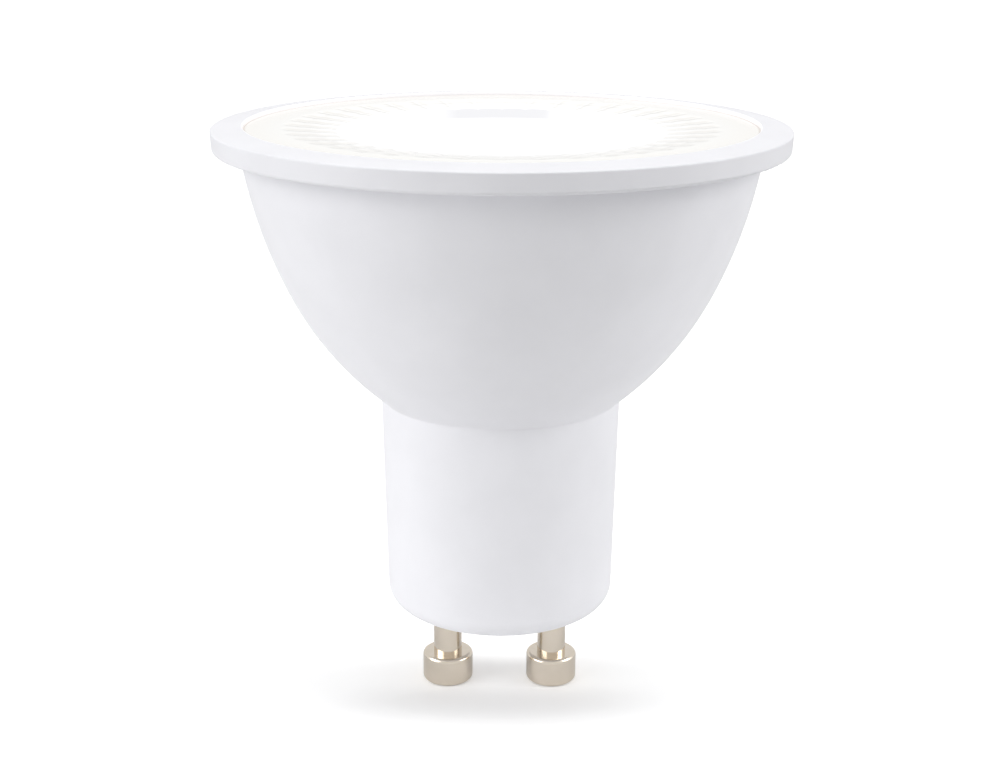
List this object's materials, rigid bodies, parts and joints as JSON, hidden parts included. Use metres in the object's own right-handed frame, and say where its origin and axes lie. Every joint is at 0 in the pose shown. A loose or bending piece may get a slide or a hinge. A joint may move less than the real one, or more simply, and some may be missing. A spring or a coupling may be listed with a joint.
{
  "type": "spotlight bulb",
  "caption": "Flanged spotlight bulb with a bowl-shaped housing, a faceted clear lens and a base of turn-and-lock contact pins.",
  "frame": {"origin": "on the lamp's axis, in the plane of the contact pins' ends", "axes": "+Z along the lamp's axis towards the lens, +X from the left contact pin to the right one"},
  "size_m": [0.0504, 0.0504, 0.0538],
  "materials": {
    "white_moulding": "satin white moulded plastic",
    "clear_lens": "clear moulded plastic",
    "nickel": "nickel-plated brass",
    "steel": "zinc-plated steel",
    "aluminium_sheet": "pressed sheet",
    "white_board": "white solder mask on aluminium",
    "led_phosphor": "phosphor in a white frame",
    "green_board": "glass-fibre board with green solder mask",
    "blue_lacquer": "lacquer",
    "black_package": "moulded package",
    "yellow_case": "moulded case",
    "black_sleeve": "shrunk sleeve",
    "ferrite": "sintered ferrite",
    "yellow_tape": "polyester tape over the winding",
    "white_insulation": "silicone insulation"
  },
  "bodies": {
    "root": {"housing": "white_moulding", "lens": "clear_lens", "contact_pin_left": "nickel", "contact_pin_right": "nickel", "pin_washers": "steel", "heat_sink": "aluminium_sheet", "led_board": "white_board", "led_chips": "led_phosphor", "board_screws": "steel", "driver_board": "green_board", "fuse_resistor": "blue_lacquer", "bridge_rectifier": "black_package", "emi_capacitor": "yellow_case", "input_capacitor": "black_sleeve", "driver_ic": "black_package", "transformer_core": "ferrite", "transformer_coil": "yellow_tape", "output_diode": "black_package", "output_capacitor": "black_sleeve", "chip_resistors": "black_package", "mains_lead_left": "white_insulation", "mains_lead_right": "white_insulation", "led_leads": "steel"}
  },
  "joints": []
}
